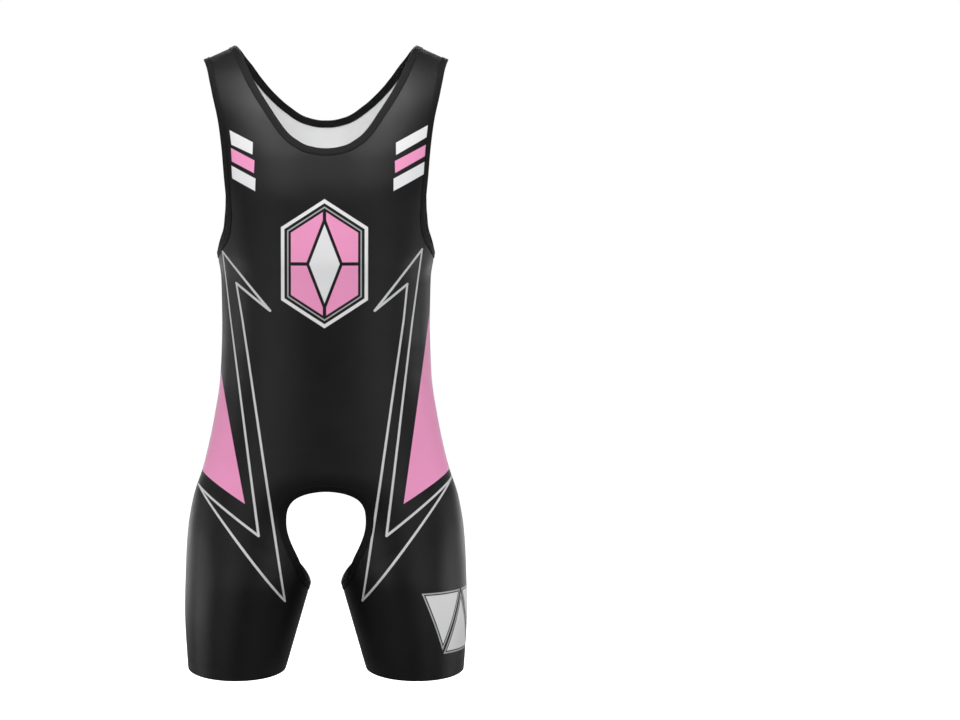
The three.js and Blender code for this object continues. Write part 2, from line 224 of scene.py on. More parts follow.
# Colours
BLACK_DARK = (0.004, 0.004, 0.0044, 1)
BLACK_LIGHT = (0.0062, 0.006, 0.0066, 1)
THREAD_LIGHT = (0.03, 0.03, 0.032, 1)
WHITE_INK = (0.86, 0.86, 0.87, 1)
# White ink of the leg row, a lighter copy of the white ink: its extra whiteness is painted light for the
# dimmer side of the thigh
ROW_INK_WITH_PAINTED_LIGHT = (0.93, 0.93, 0.93, 1)
PINK_INK = (0.95, 0.352, 0.612, 1)
REVERSE_DARK = (0.88, 0.88, 0.885, 1)
REVERSE_LIGHT = (0.93, 0.93, 0.935, 1)
TAPE_DARK = (0.002, 0.002, 0.002, 1)
TAPE_LIGHT = (0.004, 0.004, 0.004, 1)

# Knit and finishes
KNIT_WALE = 0.8
KNIT_COURSE = 0.6
KNIT_RELIEF = 0.2
SATIN_KNIT_STRENGTH = 0.12
PLAIN_KNIT_STRENGTH = 0.2
THREAD_TWIST_STRENGTH = 0.4
SATIN_ROUGHNESS = (0.36, 0.42)
REVERSE_ROUGHNESS = 0.7
TAPE_ROUGHNESS = 0.55
THREAD_ROUGHNESS = 0.6
SATIN_SHINE = {"Specular IOR Level": 0.42, "Sheen Weight": 0.03, "Sheen Roughness": 0.45}
REVERSE_SHINE = {"Specular IOR Level": 0.2, "Sheen Weight": 0.1}
TAPE_SHINE = {"Specular IOR Level": 0.24, "Sheen Weight": 0.02}
THREAD_SHINE = {"Specular IOR Level": 0.05}
SEAM_DULLING = 0.45
DULL_BESIDE_SEAM = (16, 5)
DULL_BELOW_SHOULDER = (60, 50)

# Studio
FLOOR_Z = -1.25
FLOOR_SIZE = 60
FLOOR_GLOW = 0.95
FLOOR_GREY = (0.9, 0.9, 0.9, 1)
SURROUND_SEEN = (1, 1, 1, 1)
SURROUND_FELT = (0.07, 0.07, 0.07, 1)
# Lights: name, place, aim, size and power
LIGHTS = [
    ("high_left", (-1.25, -2.35, 1.8), (0, 0, -0.25), (1.1, 0.7), 44),
    ("high_right", (1.25, -2.35, 1.8), (0, 0, -0.25), (1.1, 0.7), 44),
    ("key_left", (-2.3, -1.5, 1.5), (0, 0, -0.45), (2.2, 0.9), 9),
    ("key_right", (2.3, -1.5, 1.5), (0, 0, -0.45), (2.2, 0.9), 8),
    ("overhead", (0, -0.7, 1.9), (0, 0, -0.2), (1.8, 1.1), 20),
    ("low_left", (-1.6, -2.2, -0.9), (0, 0, -0.7), (1.8, 0.5), 5),
    ("low_right", (1.6, -2.2, -0.9), (0, 0, -0.7), (1.8, 0.5), 5),
    ("low_side_left", (-2.0, 0.1, -0.9), (0, 0, -0.75), (1.3, 0.6), 5),
    ("low_side_right", (2.0, 0.1, -0.9), (0, 0, -0.75), (1.3, 0.6), 5),
    ("back_high", (0, 2.6, 1.55), (0, 0, -0.25), (1.8, 0.6), 48),
    ("back_left", (-2.4, 1.5, 1.3), (0, 0, -0.4), (1.8, 1.0), 20),
    ("back_right", (2.4, 1.5, 1.3), (0, 0, -0.4), (1.8, 1.0), 20),
    ("back_low_left", (-1.6, 2.2, -0.9), (0, 0, -0.7), (1.8, 0.5), 5),
    ("back_low_right", (1.6, 2.2, -0.9), (0, 0, -0.7), (1.8, 0.5), 5),
]

# Camera
CAMERA_DISTANCE = 4.5
CAMERA_AIM_Z = -0.42
CAMERA_ELEVATION = 5.5
CAMERA_LENS = 125.7
CAMERA_SHIFT_X = 0.1604

# The way each face of the garment looks, along y
SIDE = {"front": -1.0, "back": 1.0}


def smooth_share(value, low, high):
    share = np.clip((value - low) / (high - low), 0, 1)
    return share * share * (3 - 2 * share)


def through_table(rows, column):
    """A curve through one column of a table that never overshoots its rows."""
    at = np.array([row["down"] for row in rows], float)
    value = np.array([column(row) for row in rows], float)
    rise = np.diff(value) / np.diff(at)
    before = np.concatenate((rise[:1], rise))
    after = np.concatenate((rise, rise[-1:]))
    same_way = before * after > 0
    total = np.where(same_way, before + after, 1)
    slope = np.where(same_way, 2 * before * after / total, 0)

    def curve(down):
        i = np.clip(np.searchsorted(at, down, side="left") - 1, 0, len(at) - 2)
        width = at[i + 1] - at[i]
        t = np.clip((down - at[i]) / width, 0, 1)
        s = 1 - t
        return (
            s * s * (1 + 2 * t) * value[i]
            + t * t * (1 + 2 * s) * value[i + 1]
            + t * s * s * width * slope[i]
            - t * t * s * width * slope[i + 1]
        )

    return curve


half_width_at = through_table(SECTIONS, lambda row: row["half_width"])
depth_squared = {
    "front": through_table(SECTIONS, lambda row: row["front"] ** 2),
    "back": through_table(SECTIONS, lambda row: row["back"] ** 2),
}


def slope_left_at(down):
    """How much of the shoulder's slope is left at this distance down."""
    return 1 - smooth_share(down, 0, SLOPE_FADES_BY)


def shoulder_fall(x):
    return SHOULDER_SLOPE * (x - NECK_POINT_X)


def surface(face, girth, fall):
    """Half the garment as a map. Girth is 0 at the centre line or inner leg seam and 1 at the
    side seam. Fall is the square root of the distance below the shoulder."""
    girth = np.asarray(girth, float)
    down = np.asarray(fall, float) ** 2
    width = half_width_at(down)
    depth = np.sqrt(np.maximum(depth_squared[face](down), 0))
    turn = girth * math.pi / 2
    body_x = width * np.sin(turn) ** (2 / BODY_SQUARENESS)
    body_y = depth * np.maximum(np.cos(turn), 0) ** (2 / BODY_SQUARENESS)
    inner = CROTCH_HALF_GAP + LEG_SPREAD * (down - CROTCH_DOWN)
    leg_x = inner + (width - inner) * (1 - np.cos(2 * turn)) / 2
    leg_y = depth * np.sin(2 * turn)
    as_leg = smooth_share(down, LEGS_BEGIN, CROTCH_DOWN)
    x = body_x + (leg_x - body_x) * as_leg
    y = SIDE[face] * (SEAM_HALF_GAP + np.maximum(body_y + (leg_y - body_y) * as_leg, 0))
    dip = HEM_DIP * np.sin(2 * turn) * smooth_share(down, CROTCH_DOWN, HEM_DOWN)
    z = -down - shoulder_fall(x) * slope_left_at(down) - dip
    return np.stack(np.broadcast_arrays(x, y, z), axis=-1)


def surface_slopes(face, girth, fall):
    nudge = 1e-3
    g0 = np.clip(girth - nudge, 0, 1)
    g1 = np.clip(girth + nudge, 0, 1)
    f0 = np.maximum(fall - nudge, 0)
    f1 = fall + nudge
    across = surface(face, g1, fall) - surface(face, g0, fall)
    downwards = surface(face, girth, f1) - surface(face, girth, f0)
    return across / (g1 - g0)[..., None], downwards / (f1 - f0)[..., None]


def unit(vectors):
    return vectors / np.maximum(np.linalg.norm(vectors, axis=-1, keepdims=True), 1e-9)


def surface_normal(face, girth, fall):
    across, downwards = surface_slopes(face, girth, fall)
    return unit(np.cross(across, downwards) * SIDE[face])


def map_place(face, x, down):
    """The place on the map of a point of the cut, found by halving."""
    level = down
    for _ in range(30):
        level = down - shoulder_fall(x) * slope_left_at(level)
    fall = math.sqrt(max(level, 0))
    low, high = 0.0, 1.0
    for _ in range(40):
        middle = (low + high) / 2
        if surface(face, middle, fall)[0] < x:
            low = middle
        else:
            high = middle
    return np.array([(low + high) / 2, fall])


def lengths_along(points):
    return np.concatenate(([0], np.cumsum(np.linalg.norm(np.diff(points, axis=0), axis=1))))


def at_lengths(face, fine, wanted):
    """Places of a fine run on the map, at these shares of its real length."""
    clipped = np.stack((np.clip(fine[:, 0], 0, 1), np.maximum(fine[:, 1], 0)), axis=1)
    along = lengths_along(surface(face, clipped[:, 0], clipped[:, 1]))
    target = wanted(along[-1])
    return np.stack([np.interp(target, along, clipped[:, k]) for k in (0, 1)], axis=1)


def evenly(count):
    return lambda length: np.linspace(0, length, count + 1)


def evenly_with_seams(count, seam_at_start, seam_at_end):
    """Even stations, with a few more beside a seam to carry its groove."""
    beside = np.array(STATIONS_BY_SEAM)

    def stations(length):
        low = beside if seam_at_start else beside[:1]
        high = length - (beside if seam_at_end else beside[:1])[::-1]
        between = count + 2 - len(low) - len(high)
        middle = np.linspace(low[-1], high[0], between + 1)[1:-1]
        return np.concatenate((low, middle, high))

    return stations


def smooth_run(places, start_mirror, end_mirror):
    """A centripetal curve on the map through an edge's places, as a fine run."""
    before = start_mirror(places[1])
    after = end_mirror(places[-2])
    points = np.array([before, *places, after])
    t = np.linspace(0, 1, CURVE_STEPS, endpoint=False)[:, None]
    fine = []
    for p0, p1, p2, p3 in zip(points, points[1:], points[2:], points[3:]):
        d0, d1, d2 = (math.sqrt(np.linalg.norm(b - a)) for a, b in ((p0, p1), (p1, p2), (p2, p3)))
        leaving = ((p1 - p0) / d0 - (p2 - p0) / (d0 + d1) + (p2 - p1) / d1) * d1
        arriving = ((p2 - p1) / d1 - (p3 - p1) / (d1 + d2) + (p3 - p2) / d2) * d1
        near = 2 * t**3 - 3 * t**2 + 1
        near_slope = t**3 - 2 * t**2 + t
        fine.append(near * p1 + near_slope * leaving + (1 - near) * p2 + (t**3 - t**2) * arriving)
    fine.append(np.array([places[-1]]))
    return np.concatenate(fine)


def over_centre(place):
    return np.array([-place[0], place[1]])


def over_side(place):
    return np.array([2 - place[0], place[1]])


def over_shoulder(place):
    return np.array([place[0], -place[1]])


def edge_runs(face):
    """The three cut edges of a half panel, as fine runs on the map."""

    def on_shoulder(x):
        return np.array([map_place(face, x, shoulder_fall(x))[0], 0])

    neck = [on_shoulder(NECK_POINT_X)] + [map_place(face, *row) for row in NECK[face]]
    armhole = [on_shoulder(SHOULDER_POINT_X)] + [map_place(face, *row) for row in ARMHOLE[face]]
    armhole[-1][0] = 1
    opening = [map_place(face, *row) for row in OPENING[face]]
    opening[-1][0] = 0
    return {
        "neck": smooth_run(neck, over_shoulder, over_centre),
        "armhole": smooth_run(armhole, over_shoulder, over_side),
        "opening": smooth_run(opening, over_centre, over_centre),
    }


EDGES = {face: edge_runs(face) for face in SIDE}


def straight(face, start, end, wanted):
    """Places along a straight line on the map, at the wanted lengths."""
    share = np.linspace(0, 1, LINE_STEPS + 1)[:, None]
    return at_lengths(face, start + (end - start) * share, wanted)


def crease_lift(face, mirror, points):
    """How far the soft creases lift the cloth at these points."""
    lift = np.zeros(len(points))
    for crease in (row for row in CREASES if row["face"] == face):
        turn = math.radians(crease["turn"])
        dx = points[:, 0] * mirror - crease["x"]
        dz = -points[:, 2] - crease["down"]
        along = dx * math.cos(turn) + dz * math.sin(turn)
        beside = dz * math.cos(turn) - dx * math.sin(turn)
        run = np.exp(-((2 * along / crease["length"]) ** 2))
        lift -= crease["depth"] * run * np.exp(-((beside / crease["width"]) ** 2))
    return lift


def panel_rows(face):
    """Rows of places from a half panel's inner edge to its outer edge."""
    edges = EDGES[face]
    neck = at_lengths(face, edges["neck"], evenly_with_seams(NECK_ROWS, True, False))
    armhole = at_lengths(face, edges["armhole"], evenly_with_seams(STRAP_ROWS, True, False))
    opening = at_lengths(face, edges["opening"], evenly(OPENING_ROWS))
    chest = np.array([0, math.sqrt(CHEST_DOWN)])
    hem_fall = math.sqrt(HEM_DOWN)
    inner = np.concatenate((
        neck,
        straight(face, neck[-1], chest, evenly(CHEST_ROWS))[1:],
        straight(face, chest, opening[0], evenly(BODY_ROWS))[1:],
        opening[1:],
        straight(face, opening[-1], np.array([0, hem_fall]), evenly(LEG_ROWS))[1:],
    ))
    below_arm = BODY_ROWS + OPENING_ROWS + LEG_ROWS
    hem_side = np.array([1, hem_fall])
    outer = np.concatenate((
        armhole,
        straight(face, armhole[-1], hem_side, evenly(below_arm))[1:],
    ))
    wanted = evenly_with_seams(COLUMNS, True, True)
    return np.array([straight(face, a, b, wanted) for a, b in zip(inner, outer)])


def half_panel(face, mirror):
    """Points of a half panel's outside, with its turned hem, and their flat places."""
    rows = panel_rows(face)
    count, width = rows.shape[:2]
    girth = rows[..., 0].ravel()
    fall = rows[..., 1].ravel()
    points = surface(face, girth, fall)
    normals = surface_normal(face, girth, fall)
    groove = np.exp(-((points[:, 1] / SEAM_GROOVE_WIDTH) ** 2)) * SEAM_GROOVE_DEPTH
    moved = points + normals * (crease_lift(face, mirror, points) - groove)[:, None]
    grid = moved.reshape(count, width, 3)
    normals = normals.reshape(count, width, 3)
    steps = np.linalg.norm(np.diff(grid, axis=1), axis=2)
    summed = np.cumsum(steps[:, ::-1], axis=1)[:, ::-1]
    from_side = np.concatenate((summed, np.zeros((count, 1))), axis=1)
    flat = np.stack((from_side * -SIDE[face], -grid[..., 2]), axis=2)
    fold = CLOTH_THICKNESS + HEM_FOLD_GAP
    turned = [grid[-1] - normals[-1] * fold + np.array([0, 0, -HEM_FOLD_DROP])]
    for k in range(HEM_TURN_ROWS):
        up = HEM_TURN * (k / (HEM_TURN_ROWS - 1))
        level = math.sqrt(HEM_DOWN - up)
        ring = surface(face, rows[-1, :, 0], level)
        inwards = surface_normal(face, rows[-1, :, 0], np.full(width, level))
        turned.append(ring - inwards * (2 * fold))
    turned = np.array(turned)
    turned_flat = np.repeat(flat[-1:], len(turned), axis=0)
    turned_flat[..., 1] += np.linspace(1, HEM_TURN + 1, len(turned))[:, None]
    mirrored = np.concatenate((grid, turned)) * (mirror, 1, 1)
    return mirrored, np.concatenate((flat, turned_flat))


def mesh_object(name, points, faces, materials):
    mesh = bpy.data.meshes.new(name)
    mesh.from_pydata([tuple(p) for p in np.asarray(points) * MM], [], faces)
    for material in materials:
        mesh.materials.append(material)
    mesh.polygons.foreach_set("use_smooth", [True] * len(mesh.polygons))
    mesh.update()
    piece = bpy.data.objects.new(name, mesh)
    bpy.context.scene.collection.objects.link(piece)
    return piece


def apply_modifier(piece, kind, **settings):
    modifier = piece.modifiers.new(kind.title(), kind)
    for key, value in settings.items():
        setattr(modifier, key, value)
    bpy.ops.object.select_all(action="DESELECT")
    bpy.context.view_layer.objects.active = piece
    piece.select_set(True)
    bpy.ops.object.modifier_apply(modifier=modifier.name)


def smooth_by_angle(piece):
    bpy.ops.object.select_all(action="DESELECT")
    bpy.context.view_layer.objects.active = piece
    piece.select_set(True)
    bpy.ops.object.shade_smooth_by_angle(angle=math.radians(50))


def make_panel(face, materials):
    """The front or the back: two half panels that share their centre line, given a thickness."""
    points = []
    places = []
    faces = []
    centre = {}
    for mirror in (1, -1):
        grid, flat = half_panel(face, mirror)
        rows, width = grid.shape[:2]
        index = np.empty((rows, width), int)
        for i in range(rows):
            for j in range(width):
                on_centre = j == 0 and NECK_ROWS <= i <= STRAP_ROWS + BODY_ROWS
                if on_centre and i in centre:
                    index[i, j] = centre[i]
                    continue
                index[i, j] = len(points)
                points.append(grid[i, j])
                places.append(flat[i, j])
                if on_centre:
                    centre[i] = index[i, j]
        for i in range(rows - 1):
            for j in range(width - 1):
                cell = [index[i, j], index[i + 1, j], index[i + 1, j + 1], index[i, j + 1]]
                faces.append(cell if mirror * SIDE[face] < 0 else cell[::-1])
    panel = mesh_object(f"{face}_cloth", points, [[int(v) for v in f] for f in faces], materials)
    layer = panel.data.uv_layers.new(name="cloth")
    for loop in panel.data.loops:
        across, down = places[loop.vertex_index]
        layer.data[loop.index].uv = (across * MM, -down * MM)
    apply_modifier(
        panel,
        "SOLIDIFY",
        thickness=CLOTH_THICKNESS * MM,
        offset=-1,
        material_offset=1,
        material_offset_rim=0,
    )
    smooth_by_angle(panel)
    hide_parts(f"{face}_panel")
    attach(panel, "root")
    width = 2 * np.max(np.abs(flat[:, 0, 0])) * MM
    return panel


def inset(face, places, width, hand, start_line, end_line):
    """A line this far inside a cut edge, on the side of it where the cloth is."""
    solid = surface(face, places[:, 0], places[:, 1])
    run = np.empty_like(solid)
    run[1:-1] = solid[2:] - solid[:-2]
    run[0] = solid[1] - solid[0]
    run[-1] = solid[-1] - solid[-2]
    for i, line in ((0, start_line), (-1, end_line)):
        keep = 0 if line == "centre" else 1
        kept = run[i, keep]
        run[i] = 0
        run[i, keep] = kept
    normals = surface_normal(face, places[:, 0], places[:, 1])
    inward = unit(np.cross(normals, run) * -hand * SIDE[face])
    moved = places.copy()
    for _ in range(INSET_STEPS):
        across, downwards = surface_slopes(face, moved[:, 0], moved[:, 1])
        across_square = (across * across).sum(1)
        shared = (across * downwards).sum(1)
        down_square = (downwards * downwards).sum(1)
        by_across = (across * inward).sum(1) * width / INSET_STEPS
        by_down = (downwards * inward).sum(1) * width / INSET_STEPS
        patch = np.maximum(across_square * down_square - shared * shared, 1e-9)
        girth_step = (by_across * down_square - by_down * shared) / patch
        fall_step = (by_down * across_square - by_across * shared) / patch
        moved[:, 0] = np.clip(moved[:, 0] + girth_step, 0, 1)
        moved[:, 1] = np.maximum(moved[:, 1] + fall_step, 0)
    for i, line in ((0, start_line), (-1, end_line)):
        if line == "shoulder":
            moved[i, 1] = 0
        else:
            moved[i, 0] = places[i, 0]
    return moved


# Each cut edge: the hand on which its cloth lies, and the lines where it starts and ends
EDGE_KINDS = {
    "neck": {"hand": 1, "start": "shoulder", "end": "centre"},
    "armhole": {"hand": -1, "start": "shoulder", "end": "side"},
    "opening": {"hand": 1, "start": "centre", "end": "side"},
}


def edge_strip(face, edge, mirror, offsets):
    """Points and normals on lines at these distances inside a cut edge."""
    kind = EDGE_KINDS[edge]
    fine = EDGES[face][edge]
    length = lengths_along(surface(face, np.clip(fine[:, 0], 0, 1), np.maximum(fine[:, 1], 0)))[-1]
    places = at_lengths(face, fine, evenly(round(length / TAPE_STATION)))
    points = []
    normals = []
    for offset in offsets:
        line = places
        if offset > 0:
            line = inset(face, places, offset, kind["hand"], kind["start"], kind["end"])
        points.append(surface(face, line[:, 0], line[:, 1]) * (mirror, 1, 1))
        normals.append(surface_normal(face, line[:, 0], line[:, 1]) * (mirror, 1, 1))
    return np.array(points).transpose(1, 0, 2), np.array(normals).transpose(1, 0, 2)


def loop_of(edge, runs, offsets):
    """One closed strip from half edges, each (face, mirror, backwards). Where two meet, they
    share a station."""
    halves = []
    for face, mirror, backwards in runs:
        points, normals = edge_strip(face, edge, mirror, offsets)
        halves.append((points[::-1], normals[::-1]) if backwards else (points, normals))
    points = []
    normals = []
    for k, (p, n) in enumerate(halves):
        q, m = halves[(k + 1) % len(halves)]
        points += [p[1:-1], (p[-1:] + q[:1]) / 2]
        normals += [n[1:-1], unit(n[-1:] + m[:1])]
    return np.concatenate(points), np.concatenate(normals)


# Half edges in the order of each closed tape: face, mirror and whether it runs backwards
NECK_RUNS = [("front", 1, False), ("front", -1, True), ("back", -1, False), ("back", 1, True)]
OPENING_RUNS = [("front", 1, False), ("back", 1, True), ("back", -1, False), ("front", -1, True)]


def armhole_runs(mirror):
    return [("front", mirror, False), ("back", mirror, True)]


def make_tape(name, node, edge, runs, width, material):
    """Tape folded over a cut edge, from its heel on the outside round the lip to the inside."""
    lift = TAPE_LIFT
    pinched = TAPE_LIFT - TAPE_HEEL_DROP
    offsets = [0, width * 0.3, width * 0.65, width * 0.88, width]
    points, normals = loop_of(edge, runs, offsets)
    lip = points[:, 0]
    away = unit(lip - points[:, 1])
    top = [points[:, k] + normals[:, k] * lift for k in (3, 2, 1, 0)]
    heel_top = points[:, 4] + normals[:, 4] * pinched
    under = -CLOTH_THICKNESS - lift
    middle = (lift + under) / 2
    radius = (lift - under) / 2
    fold = []
    for degrees in (60, 30, 0, -30, -60):
        angle = math.radians(degrees)
        rise = middle + radius * math.sin(angle)
        fold.append(lip + normals[:, 0] * rise + away * (TAPE_FOLD_BULGE * math.cos(angle)))
    inside = [points[:, k] + normals[:, k] * under for k in (0, 1, 2, 3)]
    heel_inside = points[:, 4] + normals[:, 4] * (under + lift - pinched)
    profile = np.array([heel_top, *top, *fold, *inside, heel_inside]).transpose(1, 0, 2)
    stations, corners = profile.shape[:2]
    faces = []
    for s in range(stations):
        t = (s + 1) % stations
        for k in range(corners - 1):
            faces.append([s * corners + k, s * corners + k + 1, t * corners + k + 1, t * corners + k])
    flat_points = profile.reshape(-1, 3)
    first = np.cross(flat_points[1] - flat_points[0], flat_points[corners] - flat_points[0])
    if np.dot(first, normals[0, 4]) < 0:
        faces = [f[::-1] for f in faces]
    along = lengths_along(np.concatenate((lip, lip[:1])))
    piece = mesh_object(name, flat_points, faces, [material])
    layer = piece.data.uv_layers.new(name="cloth")
    across = lengths_along(profile[0])
    for polygon in piece.data.polygons:
        last = all(v // corners in (0, stations - 1) for v in polygon.vertices)
        for loop_index in polygon.loop_indices:
            vertex = piece.data.loops[loop_index].vertex_index
            station = vertex // corners
            wrapped = last and station == 0
            run = along[stations] if wrapped else along[station]
            layer.data[loop_index].uv = (run * MM, across[vertex % corners] * MM)
    apply_modifier(piece, "SOLIDIFY", thickness=TAPE_THICKNESS * MM, offset=-1)
    smooth_by_angle(piece)
    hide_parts(node)
    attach(piece, "root")
    return piece


def stitches(points, normals, closed=True):
    """Separate stitches laid end to end along a run of points."""
    path = np.concatenate((points, points[:1])) if closed else points
    ups = np.concatenate((normals, normals[:1])) if closed else normals
    along = lengths_along(path)
    count = int(along[-1] // STITCH_PITCH)
    verts = []
    faces = []
    for k in range(count):
        start = (k + 0.1) * along[-1] / count
        ends = start + STITCH_LENGTH * np.array([0, 0.25, 0.75, 1])
        p = np.stack([np.interp(ends, along, path[:, c]) for c in range(3)], axis=1)
        n = unit(np.stack([np.interp(ends, along, ups[:, c]) for c in range(3)], axis=1))
        side = unit(np.cross(n, unit(p[3] - p[0])))
        base = len(verts)
        verts.append(p[0] - n[0] * STITCH_END_SINK)
        for m in (1, 2):
            verts.append(p[m] + side[m] * STITCH_WIDTH / 2)
            verts.append(p[m] + n[m] * STITCH_HEIGHT)
            verts.append(p[m] - side[m] * STITCH_WIDTH / 2)
            verts.append(p[m] - n[m] * STITCH_SINK)
        verts.append(p[3] - n[3] * STITCH_END_SINK)
        for c in range(4):
            d = (c + 1) % 4
            faces.append([base, base + 1 + d, base + 1 + c])
            faces.append([base + 1 + c, base + 1 + d, base + 5 + d, base + 5 + c])
            faces.append([base + 9, base + 5 + c, base + 5 + d])
    return verts, faces


def make_stitching(name, rows, material):
    """One piece of sewing from rows of stitches."""
    verts = []
    faces = []
    for points, normals, closed in rows:
        more, cells = stitches(points, normals, closed)
        faces += [[v + len(verts) for v in cell] for cell in cells]
        verts += more
    piece = mesh_object(name, verts, faces, [material])
    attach(piece, "root")
    return piece


def tape_rows(edge, runs, width):
    """The two rows of stitching on a tape, outside and inside."""
    points, normals = loop_of(edge, runs, [width * share for share in TAPE_STITCH_ROWS])
    rows = []
    for k in (0, 1):
        rows.append((points[:, k] + normals[:, k] * TAPE_LIFT, normals[:, k], True))
        inside = points[:, k] - normals[:, k] * (CLOTH_THICKNESS + TAPE_LIFT)
        rows.append((inside, -normals[:, k], True))
    return rows


def hem_row(mirror, up):
    """A row of stitching round a leg, this far above the hem."""
    count = 33
    fall = np.full(count, math.sqrt(HEM_DOWN - up))
    share = np.linspace(0, 1, count)
    halves = []
    for face, order in (("front", 1), ("back", -1)):
        girth = share[::order]
        p = surface(face, girth, fall) * (mirror, 1, 1)
        n = surface_normal(face, girth, fall) * (mirror, 1, 1)
        halves.append((p[:-1] + n[:-1] * STITCH_LIFT, n[:-1]))
    return np.concatenate([h[0] for h in halves]), np.concatenate([h[1] for h in halves]), True


def seam_row(face, mirror, girth, top, bottom):
    """A row of stitching beside the side seam or the inner leg seam."""
    count = 60
    fall = np.sqrt(np.linspace(top, bottom, count))
    places = np.full(count, girth)
    across, _ = surface_slopes(face, places, fall)
    step = STITCH_FROM_SEAM / np.maximum(np.linalg.norm(across, axis=1), 1e-6)
    places = places + np.where(girth > 0.5, -step, step)
    p = surface(face, places, fall) * (mirror, 1, 1)
    n = surface_normal(face, places, fall) * (mirror, 1, 1)
    return p + n * STITCH_LIFT, n, False


class Finish:
    """A material's nodes. Places are in millimetres: x, y and the distance down."""

    def __init__(self, name):
        self.material = bpy.data.materials.new(name)
        self.material.use_nodes = True
        self.tree = self.material.node_tree
        self.tree.nodes.clear()
        object_place = self.add("ShaderNodeTexCoord").outputs["Object"]
        to_mm = self.add("ShaderNodeMapping", {"Vector": object_place, "Scale": (1000, 1000, -1000)})
        self.place = to_mm.outputs[0]
        self.turned = None

    def put(self, value, socket):
        if isinstance(value, bpy.types.NodeSocket):
            self.tree.links.new(value, socket)
        else:
            socket.default_value = value

    def add(self, kind, inputs=None, **settings):
        node = self.tree.nodes.new(kind)
        for key, value in settings.items():
            setattr(node, key, value)
        for key, value in (inputs or {}).items():
            self.put(value, node.inputs[key])
        return node

    def math(self, operation, *values):
        node = self.add("ShaderNodeMath", operation=operation)
        for socket, value in zip(node.inputs, values):
            self.put(value, socket)
        return node.outputs[0]

    def vector(self, operation, *values, output="Vector"):
        node = self.add("ShaderNodeVectorMath", operation=operation)
        for socket, value in zip(node.inputs, values):
            self.put(value, socket)
        return node.outputs[output]

    def ramp(self, value, low, high, to_low=0.0, to_high=1.0):
        ends = {"From Min": low, "From Max": high, "To Min": to_low, "To Max": to_high}
        return self.add("ShaderNodeMapRange", {"Value": value, **ends}).outputs[0]

    def mix(self, share, first, second):
        node = self.add("ShaderNodeMix", data_type="RGBA")
        self.put(share, node.inputs[0])
        self.put(first, node.inputs[6])
        self.put(second, node.inputs[7])
        return node.outputs[2]

    def patches(self, scale):
        """Broad uneven patches, as dye takes on cloth."""
        inputs = {"Vector": self.place, "Scale": scale, "Detail": 3.0}
        return self.add("ShaderNodeTexNoise", inputs).outputs["Fac"]

    def most(self, masks):
        """The strongest of several shares at each place."""
        total = masks[0]
        for mask in masks[1:]:
            total = self.math("MAXIMUM", total, mask)
        return total

    def inside_depth(self, place, corners):
        """How far inside a convex shape a place is."""
        points = np.array(corners, float)
        middle = points.mean(0)
        depth = None
        for a, b in zip(points, np.roll(points, -1, axis=0)):
            normal = np.array([a[1] - b[1], b[0] - a[0]]) / np.linalg.norm(b - a)
            if np.dot(middle - a, normal) < 0:
                normal = -normal
            flat = self.vector("DOT_PRODUCT", place, (normal[0], 0, normal[1]), output="Value")
            edge = self.math("SUBTRACT", flat, float(np.dot(normal, a)))
            depth = edge if depth is None else self.math("MINIMUM", depth, edge)
        return depth

    def band(self, depth, middle, width):
        """How far inside a band a place is, when the band follows a shape's edge."""
        off = self.math("ABSOLUTE", self.math("SUBTRACT", depth, middle))
        return self.math("SUBTRACT", width / 2, off)

    def inked(self, depth, strength=1.0):
        """Ink inside a shape, with a soft edge, from how far inside it a place is."""
        return self.ramp(depth, -PRINT_SOFT_EDGE, PRINT_SOFT_EDGE, 0, strength)

    def shape(self, place, corners):
        return self.inked(self.inside_depth(place, corners))

    def turn_away(self):
        """How squarely the cloth faces the front or the back: 1 there, and 0 at the side."""
        if self.turned is None:
            normal = self.add("ShaderNodeNewGeometry").outputs["Normal"]
            x, y, _ = self.add("ShaderNodeSeparateXYZ", {0: normal}).outputs
            xx = self.math("MULTIPLY", x, x)
            yy = self.math("MULTIPLY_ADD", y, y, 1e-4)
            self.turned = self.math("DIVIDE", yy, self.math("ADD", xx, yy))
        return self.turned

    def lines(self, place, runs):
        """Printed lines along runs of corners, as wide round the sides as in front."""
        facing = self.turn_away()
        nearest = None
        for run in runs:
            points = np.array(run, float)
            for a, b in zip(points, points[1:]):
                middle = (a + b) / 2
                half = float(np.linalg.norm(b - a)) / 2
                turn = math.atan2(a[1] - b[1], b[0] - a[0])
                local = self.add(
                    "ShaderNodeMapping",
                    {"Vector": place, "Location": (middle[0], 0, middle[1]), "Rotation": (0, turn, 0)},
                    vector_type="TEXTURE",
                ).outputs[0]
                folded = self.vector("ABSOLUTE", local)
                past = self.vector("SUBTRACT", folded, (half, 1e6, 0))
                outside = self.vector("MAXIMUM", past, (0, 0, 0))
                away = self.vector("LENGTH", outside, output="Value")
                slant = abs(math.sin(turn)) ** 2
                narrowed = self.math("MULTIPLY_ADD", facing, slant, 1 - slant)
                away = self.math("DIVIDE", away, self.math("SQRT", narrowed))
                nearest = away if nearest is None else self.math("MINIMUM", nearest, away)
        inside = self.math("SUBTRACT", PRINT_LINE_WIDTH / 2, nearest)
        return self.inked(inside, PRINT_LINE_STRENGTH)

    def knit(self):
        """Height of a plain knit, from the cloth's own flat places, with its V stitches."""
        flat = self.add("ShaderNodeUVMap", uv_map="cloth").outputs[0]
        across, down, _ = self.add("ShaderNodeSeparateXYZ", {0: flat}).outputs
        column = self.math("PINGPONG", self.math("DIVIDE", across, KNIT_WALE * MM), 0.5)
        row = self.math("DIVIDE", down, KNIT_COURSE * MM)
        leg = self.math("MULTIPLY_ADD", column, 1.5, row)
        loop = self.math("ABSOLUTE", self.math("SINE", self.math("MULTIPLY", leg, math.pi)))
        groove = self.math("SINE", self.math("MULTIPLY", column, math.pi))
        return self.math("MULTIPLY", loop, self.math("POWER", groove, 0.5))

